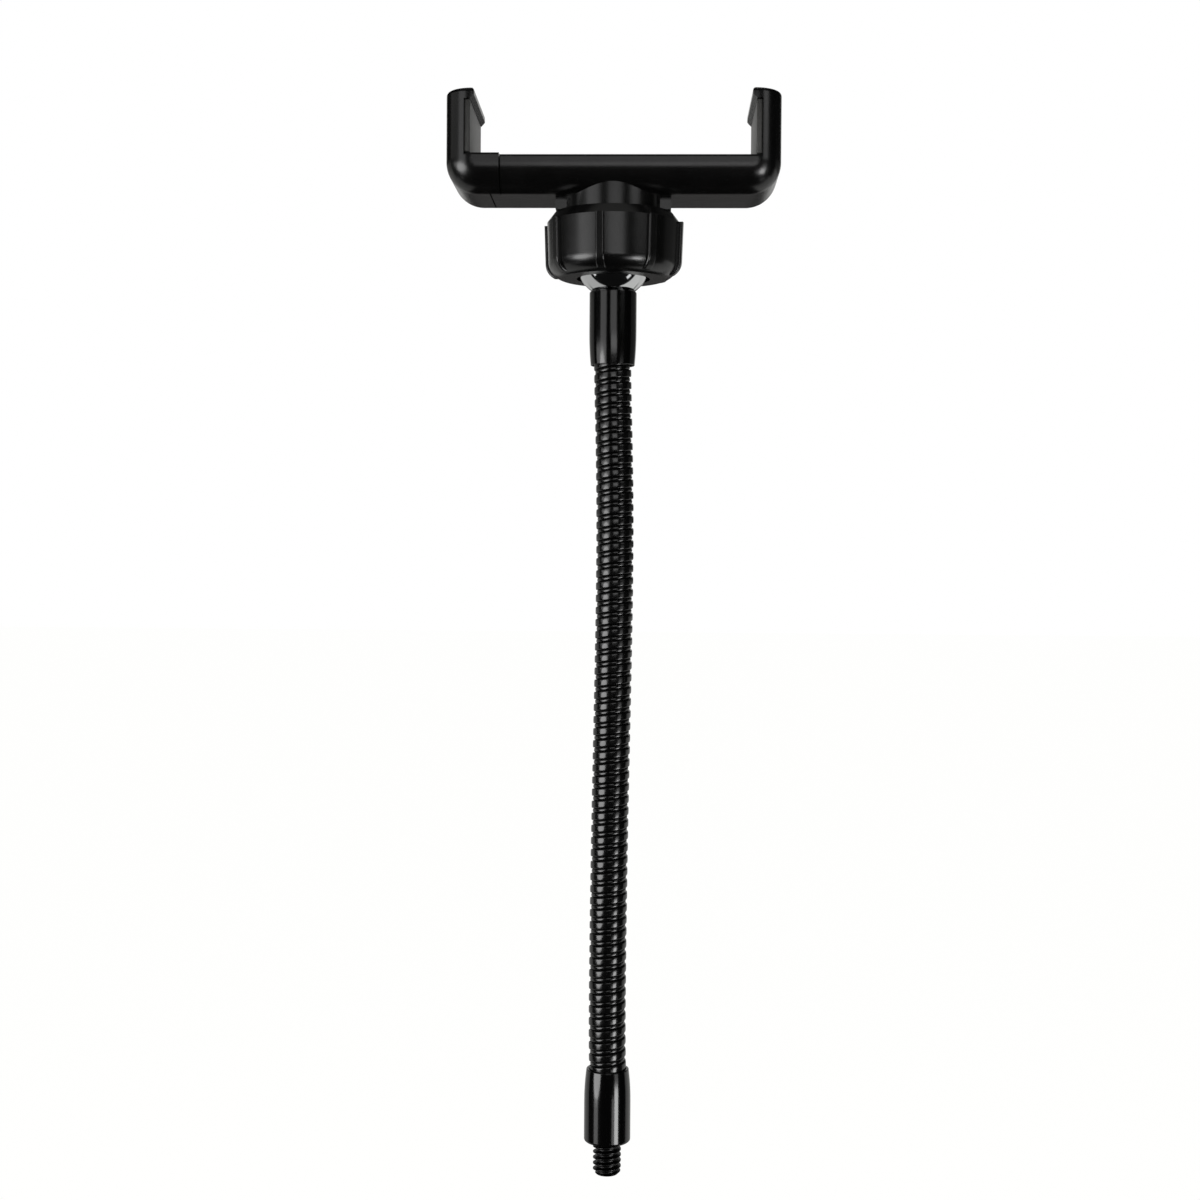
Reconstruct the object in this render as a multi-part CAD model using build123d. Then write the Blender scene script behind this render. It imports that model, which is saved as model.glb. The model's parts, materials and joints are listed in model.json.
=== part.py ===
from build123d import *
import math
import os

# Phone holder on a bendable wound-steel neck, in millimetres with +Z up.
# The origin is the middle of the shoulder above the stud. X runs across the phone, the jaw slides to -X.

# Stud and ferrules
STUD_D = 6.35
STUD_LENGTH = 7.5
STUD_CHAMFER = 0.6
STUD_SHOULDER = 0.375
FERRULE_WEB = 7.5
FERRULE_BORE_DEPTH = 9.0
LOWER_FERRULE_WALL = 0.95
LOWER_MOUTH_WALL = 0.47
UPPER_FERRULE_WALL = 1.0
UPPER_MOUTH_WALL = 0.64
FERRULE_MOUTH_EDGE = 0.2
FERRULE_TAPER = 7.5
FERRULE_FOOT_EDGE = 0.6
FERRULE_HEAD_EDGE = 0.35
SHANK_TIP_GAP = 1.0
SHANK_FIT = 0.05

# Wound neck
NECK_D = 8.4
NECK_FIT = 0.1
NECK_WALL = 1.45
GROOVE_DEPTH = 0.35
GROOVE_WIDTH = 1.0
TURN_PITCH = 2.738
FIRST_LINK_TURNS = 4
LINK_TURNS = 7
LAST_LINK_TURNS = 5
LINK_COUNT = 9
LAP_MARGIN = 0.4
LAP_GAP = 0.12

# Ball
BALL_D = 17.0
BALL_FLAT = 0.3
BALL_SHANK_D = 6.0
BALL_SEAT_LAND = 0.65
BALL_SEAT_GAP = 0.05

# Ring nut and the collet that it closes
COLLET_GAP = 0.15
COLLET_WALL = 2.35
COLLET_BELOW = 2.0
COLLET_TIP_GAP = 0.1
COLLET_SLOT = 1.4
COLLET_SLOT_TOP = 4.0
SOCKET_ROOF_GAP = 0.35
THREAD_GAP = 0.2
CONE_GAP = 0.25
NUT_WALL = 3.4
NUT_FLARE = 0.3
NUT_BELOW = 4.3
NUT_HEIGHT = 14.4
NUT_LIP = 0.3
NUT_FOOT = 2.8
NUT_FOOT_ROUND = 3.7
NUT_SHOULDER = 2.1
NUT_SHOULDER_IN = 1.6
RIB_COUNT = 8
RIB_WIDTH = 2.0
RIB_ROUND = 0.4
RIB_PROUD = 0.9
RIB_FOOT = 0.5
RIB_PHASE = -10.0

# Boss under the bar
BOSS_STEP = 0.5
BOSS_IN_BAR = 4.0
NUT_TOP_GAP = 0.3
LUG_HEIGHT = 2.7
LUG_REACH = 1.3
LUG_WIDTH = 10.0

# Clamp
GRIP_WIDTH = 62.4
CLAMP_DEPTH = 25.8
BAR_HEIGHT = 7.7
ARM_HEIGHT = 14.5
ARM_WALL = 4.35
CORNER_R = 7.0
EDGE_R = 6.0
TIP_R = 0.9
TOP_EDGE_R = 0.5
FILLET_ROOM = 0.1
LIP_HEIGHT = 2.4
LIP_REACH = 0.9
LIP_EDGE_R = 0.6
PAD_WALL = 1.3
PAD_INSET = 0.6
PAD_GAP = 0.2
JAW_BLOCK = 12.2
JAW_TOP_STEP = 0.4
SEAM_GAP = 0.15
LAP_LENGTH = 2.4
LAP_WIDTH = 13.6

# Slide inside the bar
JAW_TRAVEL = 28.0
BAR_WALL = 1.6
BAR_SIDE_WALL = 3.4
SLIDE_GAP = 0.2
SCREW_X = -8.3
SCREW_D = 3.0
SCREW_HEAD_D = 5.2
SCREW_GRIP = 4.6
SCREW_FIT = 0.05
STOP_GAP = 0.3
TONGUE_TIP_WALL = 3.5
SPRING_D = 3.2
SPRING_WIRE = 0.6
SPRING_Y = 6.3
SPRING_GAP = 0.2
PIN_FIT = 0.1
PIN_STANDOFF = 2.5
JAW_PIN_INSET = 4.3
PIN_END_WALL = 2.0

# Rest pad
REST_PAD_WALL = 0.6
REST_PAD_RECESS = 0.4
REST_PAD_DEPTH = 21.0
REST_PAD_LEFT_LAND = 2.3
REST_PAD_RIGHT_LAND = 6.7
REST_PAD_FIT = 0.1

# Radii and heights that follow from the sizes above
stud_r = STUD_D / 2
stud_shank_r = stud_r - STUD_SHOULDER
crest_r = NECK_D / 2
valley_r = crest_r - GROOVE_DEPTH
neck_bore_r = valley_r - NECK_WALL
lap_r = crest_r + LAP_MARGIN
lap_drop = math.sqrt(lap_r**2 - valley_r**2)
ferrule_bore_r = crest_r + NECK_FIT
ferrule_length = FERRULE_WEB + FERRULE_BORE_DEPTH
neck_turns = FIRST_LINK_TURNS + LINK_TURNS * (LINK_COUNT - 2) + LAST_LINK_TURNS
ferrule_top = 2 * ferrule_length + neck_turns * TURN_PITCH

ball_r = BALL_D / 2
ball_shank_r = BALL_SHANK_D / 2
ball_seat_r = ferrule_bore_r + UPPER_FERRULE_WALL - BALL_SEAT_LAND
ball_seat_drop = math.sqrt(ball_r**2 - ball_seat_r**2)
ball_z = ferrule_top + ball_seat_drop + BALL_SEAT_GAP

collet_bore_r = ball_r + COLLET_GAP
collet_r = collet_bore_r + COLLET_WALL
nut_bore_r = collet_r + THREAD_GAP
nut_r = nut_bore_r + NUT_WALL
nut_opening_r = ball_r - NUT_LIP
nut_top = NUT_HEIGHT - NUT_BELOW
boss_r = collet_r + BOSS_STEP

lug_bottom = ball_z + nut_top + NUT_TOP_GAP
bar_bottom = lug_bottom + LUG_HEIGHT
bar_top = bar_bottom + BAR_HEIGHT
arm_top = bar_top + ARM_HEIGHT
pad_x = GRIP_WIDTH / 2
arm_x = pad_x + PAD_WALL
clamp_x = arm_x + ARM_WALL
half_depth = CLAMP_DEPTH / 2
edge_r = min(EDGE_R, CORNER_R - FILLET_ROOM, BAR_HEIGHT - TOP_EDGE_R - FILLET_ROOM)
lip_bottom = arm_top - LIP_HEIGHT
seam_x = JAW_BLOCK - clamp_x

slide_z = bar_bottom + BAR_HEIGHT / 2
cavity_height = BAR_HEIGHT - 2 * BAR_WALL
cavity_width = CLAMP_DEPTH - 2 * BAR_SIDE_WALL
tongue_height = cavity_height - 2 * SLIDE_GAP
tongue_width = cavity_width - 2 * SLIDE_GAP
screw_r = SCREW_D / 2
slot_left = SCREW_X - screw_r - STOP_GAP
slot_right = SCREW_X + screw_r + STOP_GAP + JAW_TRAVEL
tongue_tip = slot_right + TONGUE_TIP_WALL
spring_r = SPRING_D / 2
pin_r = spring_r - SPRING_WIRE - PIN_FIT
spring_slot = SPRING_D + 2 * SPRING_GAP
jaw_pin_x = seam_x + JAW_PIN_INSET
body_pin_x = tongue_tip + PIN_STANDOFF
cavity_end = body_pin_x + spring_r + 2 * SPRING_GAP
rest_pad_top = bar_top - REST_PAD_RECESS + REST_PAD_WALL
rest_pad_left = seam_x + REST_PAD_LEFT_LAND
rest_pad_right = arm_x - REST_PAD_RIGHT_LAND


def turned(*outline):
    """Solid of revolution about Z from the edges of a (radius, height) outline."""
    return revolve(Plane.XZ * make_face(outline), Axis.Z)


def block(x_span, y_span, z_span):
    """Box between two values on each axis."""
    low = Vector(x_span[0], y_span[0], z_span[0])
    high = Vector(x_span[1], y_span[1], z_span[1])
    size = high - low
    return Pos(*((low + high) * 0.5)) * Box(size.X, size.Y, size.Z)


def cross_pin(x, z, radius, half_length):
    """Round bar along Y."""
    return Pos(x, 0, z) * Rot(90, 0, 0) * Cylinder(radius, 2 * half_length)


def make_stud():
    """Stud with a chamfered thread end and a thinner shank above its shoulder."""
    shank_top = FERRULE_WEB - SHANK_TIP_GAP
    outline = Polyline(
        (0, -STUD_LENGTH),
        (stud_r - STUD_CHAMFER, -STUD_LENGTH),
        (stud_r, STUD_CHAMFER - STUD_LENGTH),
        (stud_r, 0),
        (stud_shank_r, 0),
        (stud_shank_r, shank_top),
        (0, shank_top),
        close=True,
    )
    return turned(outline)


def make_ferrule(shank_r, wall, mouth_wall, edge, countersink_r):
    """Sleeve with its end face at height 0 and its crimped mouth upwards."""
    bore_r = shank_r + SHANK_FIT
    seat_slope = ball_seat_r / ball_seat_drop
    seat_depth = max(0.0, countersink_r - bore_r) * seat_slope
    lead = [(bore_r, seat_depth), (countersink_r, 0)] if seat_depth else [(bore_r, 0)]
    ferrule_r = ferrule_bore_r + wall
    taper_start = (ferrule_r, ferrule_length - FERRULE_TAPER)
    mouth = (ferrule_bore_r + mouth_wall, ferrule_length)
    bore = [(ferrule_bore_r, ferrule_length), (ferrule_bore_r, FERRULE_WEB), (bore_r, FERRULE_WEB)]
    profile = make_face(
        [
            Polyline(*lead, (ferrule_r, 0), taper_start),
            TangentArc(taper_start, mouth, tangent=(0, 1)),
            Polyline(mouth, *bore, lead[0]),
        ]
    )
    foot_corner = profile.vertices().group_by(Axis.Y)[0].sort_by(Axis.X)[-1]
    profile = fillet(foot_corner, edge)
    mouth_corner = profile.vertices().group_by(Axis.Y)[-1].sort_by(Axis.X)[-1]
    return revolve(Plane.XZ * fillet(mouth_corner, FERRULE_MOUTH_EDGE), Axis.Z)


def make_link(turns, is_first, is_last):
    """Length of neck from one groove to another, with height 0 at its lower groove.

    The dome on top and the cup below share the centre that the neck bends about there.
    """
    top = turns * TURN_PITCH
    half_groove = GROOVE_WIDTH / 2
    if is_first:
        outer = [(0, -FERRULE_BORE_DEPTH), (crest_r, -FERRULE_BORE_DEPTH)]
    else:
        outer = [(0, 0), (valley_r, 0), (crest_r, half_groove)]
    for turn in range(1, turns):
        groove = turn * TURN_PITCH
        outer += [(crest_r, groove - half_groove), (valley_r, groove), (crest_r, groove + half_groove)]
    if is_last:
        outer += [(crest_r, top + FERRULE_BORE_DEPTH), (0, top + FERRULE_BORE_DEPTH)]
        link = turned(Polyline(*outer, close=True))
    else:
        centre = top - lap_drop
        half_angle = math.asin(valley_r / lap_r) / 2
        dome_point = (lap_r * math.sin(half_angle), centre + lap_r * math.cos(half_angle))
        outer += [(crest_r, top - half_groove), (valley_r, top)]
        dome = ThreePointArc((valley_r, top), dome_point, (0, centre + lap_r))
        link = turned(Polyline(*outer), dome, Line((0, centre + lap_r), outer[0]))
    if not is_first:
        link -= Pos(0, 0, -lap_drop) * Sphere(lap_r + LAP_GAP)
    return link - Cylinder(neck_bore_r, 4 * (top + FERRULE_BORE_DEPTH))


def make_ball():
    """Ball with a flat top and its shank, about the ball's centre."""
    flat_z = ball_r - BALL_FLAT
    flat_r = math.sqrt(ball_r**2 - flat_z**2)
    neck_z = -math.sqrt(ball_r**2 - ball_shank_r**2)
    tip_z = ferrule_top - FERRULE_WEB + SHANK_TIP_GAP - ball_z
    return turned(
        Line((0, flat_z), (flat_r, flat_z)),
        ThreePointArc((flat_r, flat_z), (ball_r, 0), (ball_shank_r, neck_z)),
        Polyline((ball_shank_r, neck_z), (ball_shank_r, tip_z), (0, tip_z), (0, flat_z)),
    )


def make_ring_nut():
    """Ribbed nut about the ball's centre, with a cone inside that closes the collet."""
    foot = -NUT_BELOW
    round_top = foot + NUT_FOOT_ROUND
    foot_r = nut_r - NUT_FOOT
    cone_top = foot + nut_bore_r - nut_opening_r
    shoulder_r = nut_r + NUT_FLARE
    shoulder_z = nut_top - NUT_SHOULDER
    shell = turned(
        Line((nut_opening_r, foot), (foot_r, foot)),
        TangentArc((nut_r, round_top), (foot_r, foot), tangent=(0, -1)),
        Polyline(
            (nut_r, round_top),
            (shoulder_r, shoulder_z),
            (shoulder_r - NUT_SHOULDER_IN, nut_top),
            (nut_bore_r, nut_top),
            (nut_bore_r, cone_top),
            (nut_opening_r, foot),
        ),
    )
    rib_foot = foot + RIB_FOOT
    rib_foot_r = foot_r + NUT_FOOT_ROUND / 2
    rib_root_r = nut_bore_r + NUT_WALL / 3
    rib_face = make_face(
        [
            TangentArc((nut_r + RIB_PROUD, round_top), (rib_foot_r, rib_foot), tangent=(0, -1)),
            Polyline(
                (nut_r + RIB_PROUD, round_top),
                (shoulder_r + RIB_PROUD, shoulder_z),
                (rib_root_r, shoulder_z),
                (rib_root_r, rib_foot),
                (rib_foot_r, rib_foot),
            ),
        ]
    )
    rib = extrude(Plane.XZ * rib_face, RIB_WIDTH / 2, both=True)
    rib_sides = rib.faces().sort_by(Axis.Y)
    rib_edges = rib_sides[0].edges() + rib_sides[-1].edges()

    def stands_proud(edge):
        return (edge @ 0.5).X > rib_foot_r

    rib = fillet(rib_edges.filter_by(stands_proud), RIB_ROUND)
    step = 360 / RIB_COUNT
    ribs = [Rot(0, 0, RIB_PHASE - 90 + step * index) * rib for index in range(RIB_COUNT)]
    return shell + ribs


def arm_shell(inner_end, block_top):
    """Right-hand bar end and arm: an L with rounded outer edges and a lip at the arm's tip.

    It runs from inner_end out to the arm, and the bar's top is at block_top.
    """
    outline = Polyline(
        (inner_end, bar_bottom),
        (clamp_x, bar_bottom),
        (clamp_x, arm_top),
        (inner_end, arm_top),
        close=True,
    )
    profile = make_face(outline)
    corner = profile.vertices().group_by(Axis.Y)[0].sort_by(Axis.X)[-1]
    rounded = extrude(Plane.XZ * fillet(corner, CORNER_R), half_depth, both=True)
    bottom_edges = rounded.edges().filter_by(Axis.X).group_by(Axis.Z)[0]
    rounded = fillet(bottom_edges, edge_r)

    bar = rounded - block((inner_end, clamp_x), (-half_depth, half_depth), (block_top, arm_top))
    bar = fillet(bar.edges().filter_by(Axis.X).group_by(Axis.Z)[-1], TOP_EDGE_R)

    tip_edges = rounded.edges().filter_by(Axis.X).group_by(Axis.Z)[-1]
    lip_x = pad_x - LIP_REACH
    opening = Polyline(
        (inner_end, bar_bottom),
        (arm_x, bar_bottom),
        (arm_x, lip_bottom),
        (pad_x, lip_bottom),
        (lip_x, lip_bottom + LIP_REACH),
        (lip_x, arm_top),
        (inner_end, arm_top),
        close=True,
    )
    arm = fillet(tip_edges, min(TIP_R, LIP_HEIGHT / 2 - FILLET_ROOM))
    arm -= extrude(Plane.XZ * make_face(opening), half_depth, both=True)
    lip_edge = arm.edges().filter_by(Axis.Y).group_by(Axis.Z)[-1].sort_by(Axis.X)[0]
    return bar + fillet(lip_edge, LIP_EDGE_R)


def make_jaw_pad(foot):
    """Right-hand rubber pad, flat on the arm below its lip."""
    pad_depth = half_depth - PAD_INSET
    return block((pad_x, arm_x), (-pad_depth, pad_depth), (foot + PAD_GAP, lip_bottom))


def make_clamp_body():
    """Bar with the fixed arm, the hollow for the jaw's tongue, and the collet under it."""
    body = arm_shell(seam_x, bar_top)
    lap = block(
        (seam_x - LAP_LENGTH, seam_x),
        (-LAP_WIDTH / 2, LAP_WIDTH / 2),
        (bar_bottom, bar_bottom + BAR_WALL),
    )
    lug_x = boss_r + LUG_REACH
    lugs = block((-lug_x, lug_x), (-LUG_WIDTH / 2, LUG_WIDTH / 2), (lug_bottom, bar_bottom + BAR_WALL))
    boss_top = bar_bottom + BOSS_IN_BAR
    boss = Pos(0, 0, (lug_bottom + boss_top) / 2) * Cylinder(boss_r, boss_top - lug_bottom)
    body = body + [lap, lugs, boss, make_collet()]
    body -= Pos(0, 0, ball_z) * make_socket()
    body -= block(
        (seam_x - LAP_LENGTH, cavity_end),
        (-cavity_width / 2, cavity_width / 2),
        (slide_z - cavity_height / 2, slide_z + cavity_height / 2),
    )
    body -= block(
        (rest_pad_left, rest_pad_right),
        (-REST_PAD_DEPTH / 2, REST_PAD_DEPTH / 2),
        (bar_top - REST_PAD_RECESS, bar_top),
    )
    body -= cross_pin(body_pin_x, slide_z, pin_r + SHANK_FIT, half_depth - PIN_END_WALL)
    return body - Pos(SCREW_X, 0, 0) * make_screw(SCREW_FIT)


def make_collet():
    """Slotted sleeve that grips the ball, with a bevelled tip inside the nut's cone."""
    tip_z = -COLLET_BELOW
    tip_r = nut_opening_r + NUT_BELOW - COLLET_BELOW - CONE_GAP
    bevel_top = tip_z + collet_r - tip_r
    sleeve = turned(
        Polyline(
            (0, tip_z),
            (tip_r, tip_z),
            (collet_r, bevel_top),
            (collet_r, lug_bottom - ball_z),
            (0, lug_bottom - ball_z),
            close=True,
        )
    )
    slot_span = (tip_z, COLLET_SLOT_TOP)
    for angle in (45, 135):
        slot = block((-collet_r, collet_r), (-COLLET_SLOT / 2, COLLET_SLOT / 2), slot_span)
        sleeve -= Rot(0, 0, angle) * slot
    return Pos(0, 0, ball_z) * sleeve


def make_socket():
    """Hollow that the ball sits in: a bore, a 45 degree seat and a flat roof."""
    tip_z = -COLLET_BELOW
    tip_bore_r = math.sqrt(ball_r**2 - COLLET_BELOW**2) + COLLET_TIP_GAP
    roof_z = ball_r + SOCKET_ROOF_GAP
    cone_sum = math.sqrt(2) * (ball_r + COLLET_GAP)
    return turned(
        Polyline(
            (0, tip_z),
            (tip_bore_r, tip_z),
            (collet_bore_r, 0),
            (collet_bore_r, cone_sum - collet_bore_r),
            (cone_sum - roof_z, roof_z),
            (0, roof_z),
            close=True,
        )
    )


def make_screw(fit):
    """Countersunk screw from the pad's recess down into the boss, larger all round by fit."""
    shank_r = screw_r + fit
    head_r = SCREW_HEAD_D / 2 + fit
    head_top = bar_top - REST_PAD_RECESS
    tip = slide_z - cavity_height / 2 - SCREW_GRIP - fit
    return turned(
        Polyline(
            (0, tip),
            (shank_r, tip),
            (shank_r, head_top - head_r + shank_r),
            (head_r, head_top),
            (0, head_top),
            close=True,
        )
    )


def make_sliding_jaw():
    """Left-hand arm with a tongue that is slotted for the stop screw and the two springs."""
    jaw = mirror(arm_shell(SEAM_GAP - seam_x, bar_top + JAW_TOP_STEP), about=Plane.YZ)
    jaw -= block(
        (seam_x - LAP_LENGTH - SEAM_GAP, seam_x),
        (-LAP_WIDTH / 2 - SEAM_GAP, LAP_WIDTH / 2 + SEAM_GAP),
        (bar_bottom, bar_bottom + BAR_WALL + SLIDE_GAP),
    )
    tongue_span = (slide_z - tongue_height / 2, slide_z + tongue_height / 2)
    tongue = block((seam_x - LAP_LENGTH, tongue_tip), (-tongue_width / 2, tongue_width / 2), tongue_span)
    slot_half = screw_r + STOP_GAP
    tongue -= block((slot_left, slot_right), (-slot_half, slot_half), tongue_span)
    spring_slot_left = jaw_pin_x - spring_r - 2 * SPRING_GAP
    for side in (-SPRING_Y, SPRING_Y):
        sides = (side - spring_slot / 2, side + spring_slot / 2)
        tongue -= block((spring_slot_left, tongue_tip), sides, tongue_span)
    jaw += tongue
    return jaw - cross_pin(jaw_pin_x, slide_z, pin_r + SHANK_FIT, tongue_width / 2 - SLIDE_GAP)


def make_rest_pad():
    """Thin rubber strip in the recess on top of the bar."""
    half_pad = REST_PAD_DEPTH / 2 - REST_PAD_FIT
    return block(
        (rest_pad_left + REST_PAD_FIT, rest_pad_right - REST_PAD_FIT),
        (-half_pad, half_pad),
        (bar_top - REST_PAD_RECESS, rest_pad_top),
    )


def make_spring(side):
    """Extension spring as a coil tube with an eye round each pin."""
    coil_left = jaw_pin_x + pin_r + PIN_FIT
    coil_right = body_pin_x - pin_r - PIN_FIT
    coil_middle = Pos((coil_left + coil_right) / 2, side, slide_z) * Rot(0, 90, 0)
    coil_length = coil_right - coil_left
    coil = Cylinder(spring_r, coil_length) - Cylinder(spring_r - SPRING_WIRE, coil_length)
    eye = Cylinder(spring_r, SPRING_WIRE) - Cylinder(pin_r + PIN_FIT, SPRING_WIRE)
    eyes = [Pos(x, side, slide_z) * Rot(90, 0, 0) * eye for x in (jaw_pin_x, body_pin_x)]
    return coil_middle * coil + eyes


def make_parts():
    """All pieces by node name, where they sit with the jaw shut and the neck straight."""
    pieces = {
        "stud": make_stud(),
        "lower_ferrule": make_ferrule(
            stud_shank_r, LOWER_FERRULE_WALL, LOWER_MOUTH_WALL, FERRULE_FOOT_EDGE, 0.0
        ),
    }
    link_z = ferrule_length
    for index in range(LINK_COUNT):
        is_first = index == 0
        is_last = index == LINK_COUNT - 1
        turns = FIRST_LINK_TURNS if is_first else LAST_LINK_TURNS if is_last else LINK_TURNS
        pieces[f"neck_segment_{index + 1}"] = Pos(0, 0, link_z) * make_link(turns, is_first, is_last)
        link_z += turns * TURN_PITCH
    upper = make_ferrule(
        ball_shank_r, UPPER_FERRULE_WALL, UPPER_MOUTH_WALL, FERRULE_HEAD_EDGE, ball_seat_r
    )
    at_ball = Pos(0, 0, ball_z)
    pieces["upper_ferrule"] = Pos(0, 0, ferrule_top) * Rot(180, 0, 0) * upper
    pieces["ball_stud"] = at_ball * make_ball()
    pieces["ring_nut"] = at_ball * make_ring_nut()
    pieces["clamp_body"] = make_clamp_body()
    pieces["right_jaw_pad"] = make_jaw_pad(bar_top)
    pieces["rest_pad"] = make_rest_pad()
    pieces["stop_screw"] = Pos(SCREW_X, 0, 0) * make_screw(0.0)
    body_pin_half = half_depth - PIN_END_WALL - PIN_FIT
    pieces["body_spring_pin"] = cross_pin(body_pin_x, slide_z, pin_r, body_pin_half)
    pieces["sliding_jaw"] = make_sliding_jaw()
    pieces["left_jaw_pad"] = mirror(make_jaw_pad(bar_top + JAW_TOP_STEP), about=Plane.YZ)
    jaw_pin_half = tongue_width / 2 - SLIDE_GAP - PIN_FIT
    pieces["jaw_spring_pin"] = cross_pin(jaw_pin_x, slide_z, pin_r, jaw_pin_half)
    pieces["front_spring"] = make_spring(-SPRING_Y)
    pieces["rear_spring"] = make_spring(SPRING_Y)
    return pieces


os.makedirs("parts", exist_ok=True)
for name, piece in make_parts().items():
    export_step(piece, f"parts/{name}.step")
    print(name, round(piece.volume, 1))
print("ball centre", round(ball_z, 3), "bar bottom", round(bar_bottom, 3), "bar top", round(bar_top, 3))
print("arm top", round(arm_top, 3), "half width", round(clamp_x, 3))
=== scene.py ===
import json
import math

import bmesh
import bpy
from mathutils import Matrix, Vector


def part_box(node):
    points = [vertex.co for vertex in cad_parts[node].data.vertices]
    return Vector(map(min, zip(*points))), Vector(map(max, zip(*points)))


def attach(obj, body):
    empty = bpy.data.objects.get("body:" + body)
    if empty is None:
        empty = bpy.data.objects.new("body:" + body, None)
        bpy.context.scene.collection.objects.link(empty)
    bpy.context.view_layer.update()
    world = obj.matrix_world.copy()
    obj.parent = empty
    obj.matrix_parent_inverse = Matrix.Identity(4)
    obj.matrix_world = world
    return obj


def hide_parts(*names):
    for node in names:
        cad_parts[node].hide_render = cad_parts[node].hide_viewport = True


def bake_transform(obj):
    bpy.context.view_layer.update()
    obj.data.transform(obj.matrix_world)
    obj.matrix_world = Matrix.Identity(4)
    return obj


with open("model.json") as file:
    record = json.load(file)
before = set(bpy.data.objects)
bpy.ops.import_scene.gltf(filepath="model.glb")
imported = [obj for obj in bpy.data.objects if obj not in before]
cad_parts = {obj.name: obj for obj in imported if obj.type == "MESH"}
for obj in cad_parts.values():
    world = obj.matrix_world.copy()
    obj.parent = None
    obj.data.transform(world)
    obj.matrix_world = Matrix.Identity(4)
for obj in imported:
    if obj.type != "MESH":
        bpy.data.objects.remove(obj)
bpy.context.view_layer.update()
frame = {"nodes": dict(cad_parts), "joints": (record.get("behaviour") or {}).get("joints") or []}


# Stud: the threaded foot that screws into a base, a clamp or a tripod plate.
# Steel pin with a rolled quarter-inch camera thread, blackened after rolling.
# Its plain shank is pressed up into the lower ferrule, and the tip has a lead-in bevel.
MM = 0.001
WELD_DISTANCE = 0.001 * MM
THREAD_PITCH = 1.27 * MM
THREAD_DEPTH = 0.74 * MM
# Shares of the pitch that are flat.
THREAD_CREST = 0.16
THREAD_ROOT = 0.2
STUD_COLUMNS = 96
STUD_ROWS_PER_TURN = 28
STUD_SHANK_INSET = 0.375 * MM
STUD_SHARP_ANGLE = 60.0
OXIDE_BLACK = "#242426"
OXIDE_GREY = "#383837"
OXIDE_ROUGHNESS = 0.34
OXIDE_BLOTCH = 0.9 * MM
OXIDE_BLOTCH_DETAIL = 3.0


def linear(hex_code):
    """Linear RGBA of an sRGB hex colour, by the curve of the sRGB standard."""
    channels = [int(hex_code[i : i + 2], 16) / 255 for i in (1, 3, 5)]
    curve = [c / 12.92 if c <= 0.04045 else ((c + 0.055) / 1.055) ** 2.4 for c in channels]
    return [*curve, 1.0]


def add_node(tree, kind, inputs=(), **settings):
    """Adds a shader node with its settings, and fills its inputs with values or other nodes' outputs."""
    node = tree.nodes.new(kind)
    for field, value in settings.items():
        setattr(node, field, value)
    for socket, value in dict(inputs).items():
        if isinstance(value, bpy.types.NodeSocket):
            tree.links.new(value, node.inputs[socket])
        else:
            node.inputs[socket].default_value = value
    return node


def new_material(name, **sockets):
    """Material with a principled shader, whose plain values are given by socket name."""
    material = bpy.data.materials.new(name)
    material.use_nodes = True
    shader = material.node_tree.nodes["Principled BSDF"]
    for socket, value in sockets.items():
        shader.inputs[socket.replace("_", " ")].default_value = value
    return material, material.node_tree, shader


def new_piece(name, points, faces, material, slot, sharp_angle):
    """Mesh object from points and faces, smooth except at edges sharper than sharp_angle in degrees."""
    mesh = bpy.data.meshes.new(name)
    mesh.from_pydata(points, [], faces)
    shape = bmesh.new()
    shape.from_mesh(mesh)
    bmesh.ops.remove_doubles(shape, verts=shape.verts, dist=WELD_DISTANCE)
    bmesh.ops.recalc_face_normals(shape, faces=shape.faces)
    shape.to_mesh(mesh)
    shape.free()
    mesh.shade_smooth()
    mesh.set_sharp_from_angle(angle=math.radians(sharp_angle))
    mesh.materials.append(material)
    piece = bpy.data.objects.new(name, mesh)
    bpy.context.scene.collection.objects.link(piece)
    return piece


def ring_faces(row_count, column_count, wrap=True):
    """Quads between rows of points that run round an axis, closed into rings if they wrap."""
    faces = []
    for row in range(row_count - 1):
        for column in range(column_count if wrap else column_count - 1):
            after = (column + 1) % column_count
            low, high = row * column_count, (row + 1) * column_count
            faces.append((low + column, low + after, high + after, high + column))
    return faces


def black_oxide_steel():
    """Black oxide on steel: a dark metal sheen, patchy where the thread was rolled."""
    material, tree, shader = new_material("black_oxide_steel", Metallic=1.0, Roughness=OXIDE_ROUGHNESS)
    place = add_node(tree, "ShaderNodeTexCoord")
    blotch = add_node(
        tree,
        "ShaderNodeTexNoise",
        {"Vector": place.outputs["Object"], "Scale": 1 / OXIDE_BLOTCH, "Detail": OXIDE_BLOTCH_DETAIL},
    )
    tint = add_node(tree, "ShaderNodeValToRGB", {"Fac": blotch.outputs["Fac"]})
    tint.color_ramp.elements[0].color = linear(OXIDE_BLACK)
    tint.color_ramp.elements[1].color = linear(OXIDE_GREY)
    tree.links.new(tint.outputs["Color"], shader.inputs["Base Color"])
    return material


stud_low, stud_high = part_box("stud")
stud_r = stud_high.x
stud_tip_r = stud_r - THREAD_DEPTH


def thread_radius(angle, z):
    """Radius of a right-hand V thread with a flat crest and root, bevelled at the tip."""
    phase = (z / THREAD_PITCH - angle / math.tau) % 1.0
    off_crest = abs(phase - 0.5) * 2
    slope = (off_crest - THREAD_CREST) / (1 - THREAD_CREST - THREAD_ROOT)
    radius = stud_r - THREAD_DEPTH * min(max(slope, 0.0), 1.0)
    return min(radius, stud_tip_r + z - stud_low.z)


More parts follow.
